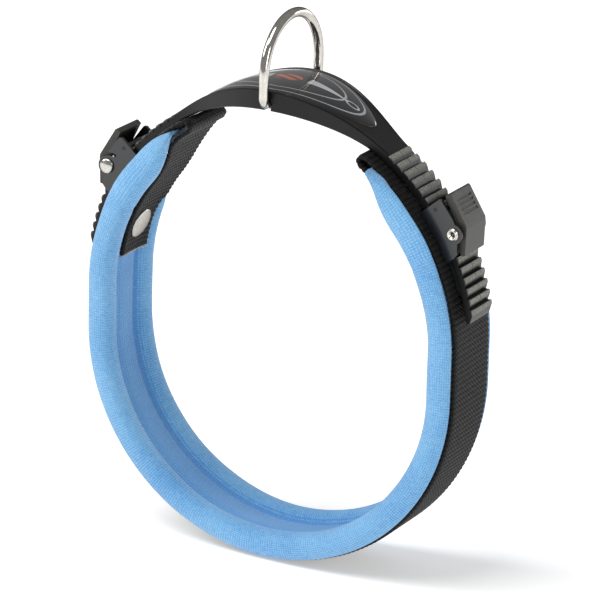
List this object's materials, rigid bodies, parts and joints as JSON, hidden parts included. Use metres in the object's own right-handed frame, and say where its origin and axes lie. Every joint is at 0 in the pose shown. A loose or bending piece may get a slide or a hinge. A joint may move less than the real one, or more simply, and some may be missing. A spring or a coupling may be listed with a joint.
{
  "type": "padded dog collar with ratchet buckles",
  "caption": "Padded webbing dog collar closed by a toothed moulded bridge that slides through two ratchet buckles and carries a leash ring.",
  "frame": {"origin": "centre of the neck opening, midway between the ring's two arcs and midway across the webbing", "axes": "+Z towards the leash ring, +Y through the neck opening from front to back, +X towards the right-hand buckle"},
  "size_m": [0.1538, 0.041, 0.1986],
  "materials": {
    "webbing": "ribbed woven nylon webbing",
    "knit": "fine knitted stretch fabric",
    "foam": "soft foam",
    "strap_plastic": "satin moulded polyamide",
    "label_resin": "clear domed resin over a printed foil",
    "nickel_wire": "polished nickel plate",
    "lacquered_steel": "black stoving lacquer",
    "nickel_rivet": "bright nickel plate",
    "lever_plastic": "fine grained moulded plastic",
    "hard_steel": "hardened, oiled",
    "spring_steel": "drawn wire",
    "guide_plastic": "smooth moulded plastic"
  },
  "bodies": {
    "root": {"webbing_strap": "webbing", "pad_cover": "knit", "foam_core_front": "foam", "foam_core_rear": "foam", "foam_strip": "foam", "right_buckle_frame": "lacquered_steel", "right_axle_pin": "nickel_rivet", "right_lever_spring": "spring_steel", "right_ladder_guide": "guide_plastic", "right_mount_rivet": "nickel_rivet", "right_rivet_cap": "nickel_rivet", "left_buckle_frame": "lacquered_steel", "left_axle_pin": "nickel_rivet", "left_lever_spring": "spring_steel", "left_ladder_guide": "guide_plastic", "left_mount_rivet": "nickel_rivet", "left_rivet_cap": "nickel_rivet"},
    "bridge": {"ladder_bridge": "strap_plastic", "bridge_label": "label_resin"},
    "leash_ring": {"d_ring": "nickel_wire"},
    "right_lever_body": {"right_lever": "lever_plastic", "right_claw": "hard_steel"},
    "left_lever_body": {"left_lever": "lever_plastic", "left_claw": "hard_steel"}
  },
  "joints": [
    {"name": "bridge_slide", "type": "hinge", "parent": "root", "child": "bridge", "pos_m": [0, 0, 0.0078], "axis": [0, 1, 0], "range_deg": [-14, 14]},
    {"name": "leash_ring_swing", "type": "hinge", "parent": "bridge", "child": "leash_ring", "pos_m": [0, 0, 0.0871], "axis": [0, 1, 0], "range_deg": [-78, 78]},
    {"name": "right_lever_press", "type": "hinge", "parent": "root", "child": "right_lever_body", "pos_m": [0.06901, 0, 0.05059], "axis": [0, -1, 0], "range_deg": [-8, 14], "stiffness_Nm_per_rad": 0.02, "springref_deg": -4},
    {"name": "left_lever_press", "type": "hinge", "parent": "root", "child": "left_lever_body", "pos_m": [-0.06901, 0, 0.05059], "axis": [0, 1, 0], "range_deg": [-8, 14], "stiffness_Nm_per_rad": 0.02, "springref_deg": -4}
  ]
}
